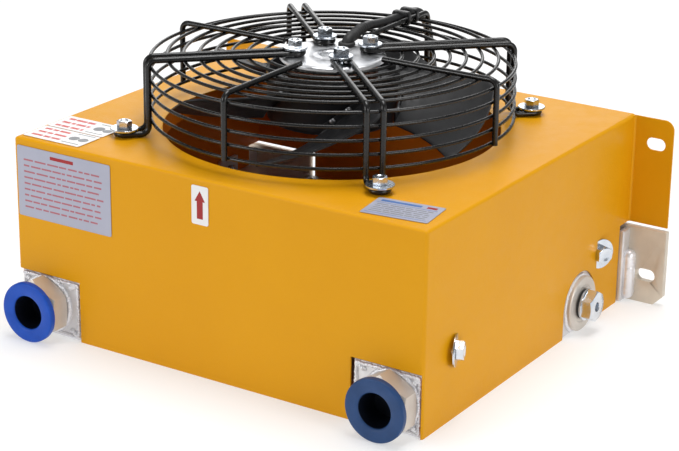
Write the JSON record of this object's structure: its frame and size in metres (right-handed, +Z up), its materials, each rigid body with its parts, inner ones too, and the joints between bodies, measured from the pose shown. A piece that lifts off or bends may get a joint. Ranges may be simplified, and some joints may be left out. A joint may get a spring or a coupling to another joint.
{
  "type": "hydraulic oil cooler",
  "caption": "Air-blast oil cooler: aluminium core with two flanged ports in a folded yellow shroud, and an external-rotor fan under a round wire guard on top.",
  "frame": {"origin": "middle of the whole object in plan, without the free motor lead, on the plane that the tanks and the shroud's lower edge rest on", "axes": "+X towards the drain side, along the front panel; -Y out of the two oil ports; +Z up through the fan's axis, which is at x 0, y 0.01125"},
  "size_m": [0.425, 0.3584, 0.2203],
  "materials": {
    "shroud_paint": "satin",
    "core_aluminium": "satin",
    "tank_aluminium": "satin",
    "port_aluminium": "satin",
    "blue_plastic": "gloss",
    "zinc_steel": "gloss",
    "black_rubber": "matte",
    "guard_coating": "gloss",
    "fan_paint": "satin",
    "hub_aluminium": "satin",
    "electrical_steel": "matte",
    "copper_winding": "satin",
    "bearing_steel": "gloss",
    "lead_sheath": "matte",
    "core_brown": "satin",
    "core_blue": "satin",
    "core_green_yellow": "satin",
    "silver_label": "satin",
    "white_label": "satin"
  },
  "bodies": {
    "cooler": {"arrow_label": "white_label", "bearing_lower": "bearing_steel", "bearing_upper": "bearing_steel", "cable_tie_1": "lead_sheath", "cable_tie_2": "lead_sheath", "core_side_front": "core_aluminium", "core_side_rear": "core_aluminium", "drain_boss": "tank_aluminium", "drain_seal": "black_rubber", "fan_guard": "guard_coating", "foot_bracket_left": "tank_aluminium", "foot_bracket_right": "tank_aluminium", "guard_bolt_back_left": "zinc_steel", "guard_bolt_back_right": "zinc_steel", "guard_bolt_front_left": "zinc_steel", "guard_bolt_front_right": "zinc_steel", "header_tank_left": "tank_aluminium", "header_tank_right": "tank_aluminium", "hub_bolt_back_left": "zinc_steel", "hub_bolt_back_right": "zinc_steel", "hub_bolt_front_left": "zinc_steel", "hub_bolt_front_right": "zinc_steel", "info_label": "silver_label", "lead_boot": "black_rubber", "lead_core_1": "core_brown", "lead_core_2": "core_blue", "lead_core_3": "core_green_yellow", "motor_lead": "lead_sheath", "motor_plate": "hub_aluminium", "name_plate": "silver_label", "oil_core": "core_aluminium", "port_boss_left": "port_aluminium", "port_boss_right": "port_aluminium", "shroud": "shroud_paint", "shroud_screw_left_front": "zinc_steel", "shroud_screw_left_rear": "zinc_steel", "shroud_screw_right_front": "zinc_steel", "shroud_screw_right_rear": "zinc_steel", "stator_core": "electrical_steel", "tank_end_front_left": "tank_aluminium", "tank_end_front_right": "tank_aluminium", "tank_end_rear_left": "tank_aluminium", "tank_end_rear_right": "tank_aluminium", "warning_label": "white_label", "winding_lower": "copper_winding", "winding_upper": "copper_winding"},
    "fan_rotor": {"rotor_shell": "fan_paint", "rotor_cage": "electrical_steel", "motor_shaft": "bearing_steel", "fan_blade_1": "fan_paint", "fan_blade_2": "fan_paint", "fan_blade_3": "fan_paint", "fan_blade_4": "fan_paint", "fan_blade_5": "fan_paint"},
    "left_plug": {"port_plug_left": "blue_plastic"},
    "right_plug": {"port_plug_right": "blue_plastic"},
    "drain_screw": {"drain_plug": "zinc_steel"}
  },
  "joints": [
    {"name": "fan_spin", "type": "hinge", "parent": "cooler", "child": "fan_rotor", "pos_m": [0, 0.01125, 0.178], "axis": [0, 0, 1], "continuous": true},
    {"name": "left_plug_out", "type": "slide", "parent": "cooler", "child": "left_plug", "axis": [0, -1, 0], "range_m": [0, 0.03]},
    {"name": "right_plug_out", "type": "slide", "parent": "cooler", "child": "right_plug", "axis": [0, -1, 0], "range_m": [0, 0.03]},
    {"name": "drain_plug_out", "type": "slide", "parent": "cooler", "child": "drain_screw", "axis": [1, 0, 0], "range_m": [0, 0.025]}
  ]
}
